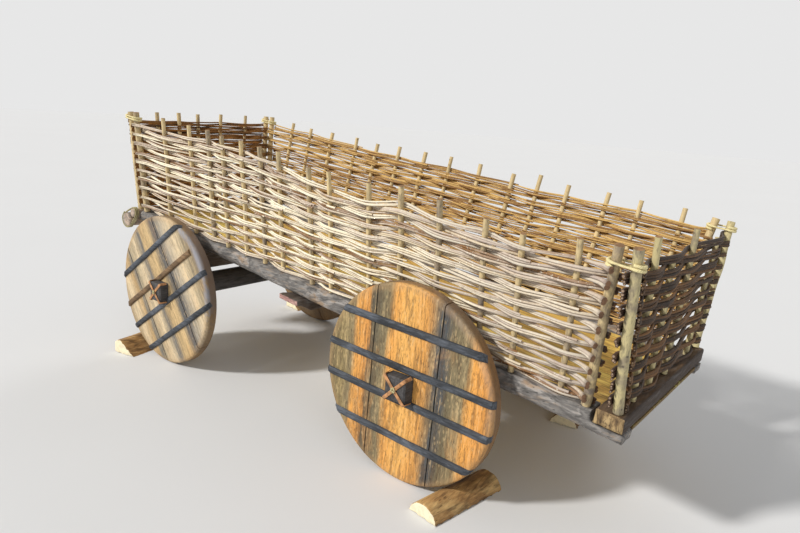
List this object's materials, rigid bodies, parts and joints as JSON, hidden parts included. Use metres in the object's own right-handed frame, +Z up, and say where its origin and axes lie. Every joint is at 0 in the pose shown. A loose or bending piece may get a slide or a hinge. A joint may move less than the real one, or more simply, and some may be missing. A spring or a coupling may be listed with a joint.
{
  "type": "four-wheeled ox wagon with wicker sides",
  "caption": "Early ox wagon with woven wicker sides, hewn log rails, a plank floor and solid disc wheels on turning wooden axles, parked on half log chocks.",
  "frame": {"origin": "on the ground, at the middle of the wagon's length and width", "axes": "+X along the wagon towards its rear, +Y towards its far side, +Z up"},
  "size_m": [2.8658, 1.358, 1.2403],
  "materials": {
    "hewn_wood": "rough weathered grey brown",
    "wheel_wood": "oiled, open grain",
    "front_wheel_wood": "weathered, grey streaks",
    "batten_wood": "grey, worn",
    "stake_wood": "bark left on",
    "rods": "dry willow and hazel",
    "floor_wood": "sawn planks",
    "leather": "raw strap",
    "rope": "twisted fibre",
    "chock_wood": "split log with bark"
  },
  "bodies": {
    "wagon_body": {"near_side_rail": "hewn_wood", "far_side_rail": "hewn_wood", "rear_crossbeam": "hewn_wood", "front_crosspiece": "hewn_wood", "front_draw_log": "hewn_wood", "front_bolster": "hewn_wood", "middle_underbeam": "hewn_wood", "rear_saddles": "hewn_wood", "front_saddles": "hewn_wood", "floor_plank_1": "floor_wood", "floor_plank_2": "floor_wood", "floor_plank_3": "floor_wood", "near_wall_stakes": "stake_wood", "near_wall_weave": "rods", "far_wall_stakes": "stake_wood", "far_wall_weave": "rods", "rear_wall_stakes": "stake_wood", "rear_wall_weave": "rods", "front_wall_stakes": "stake_wood", "front_wall_weave": "rods", "corner_ties": "rope", "front_lashings": "rope", "wheel_chocks": "chock_wood"},
    "front_wheelset": {"front_axle": "hewn_wood", "front_near_wheel": "front_wheel_wood", "front_near_battens": "batten_wood", "front_near_straps": "leather", "front_far_wheel": "front_wheel_wood", "front_far_battens": "batten_wood", "front_far_straps": "leather"},
    "rear_wheelset": {"rear_axle": "hewn_wood", "rear_near_wheel": "wheel_wood", "rear_near_battens": "batten_wood", "rear_near_straps": "leather", "rear_far_wheel": "wheel_wood", "rear_far_battens": "batten_wood", "rear_far_straps": "leather"}
  },
  "joints": [
    {"name": "front_wheels_roll", "type": "hinge", "parent": "wagon_body", "child": "front_wheelset", "pos_m": [-0.88375, 0, 0.375], "axis": [0, 1, 0], "continuous": true},
    {"name": "rear_wheels_roll", "type": "hinge", "parent": "wagon_body", "child": "rear_wheelset", "pos_m": [0.66325, 0, 0.375], "axis": [0, 1, 0], "continuous": true}
  ]
}
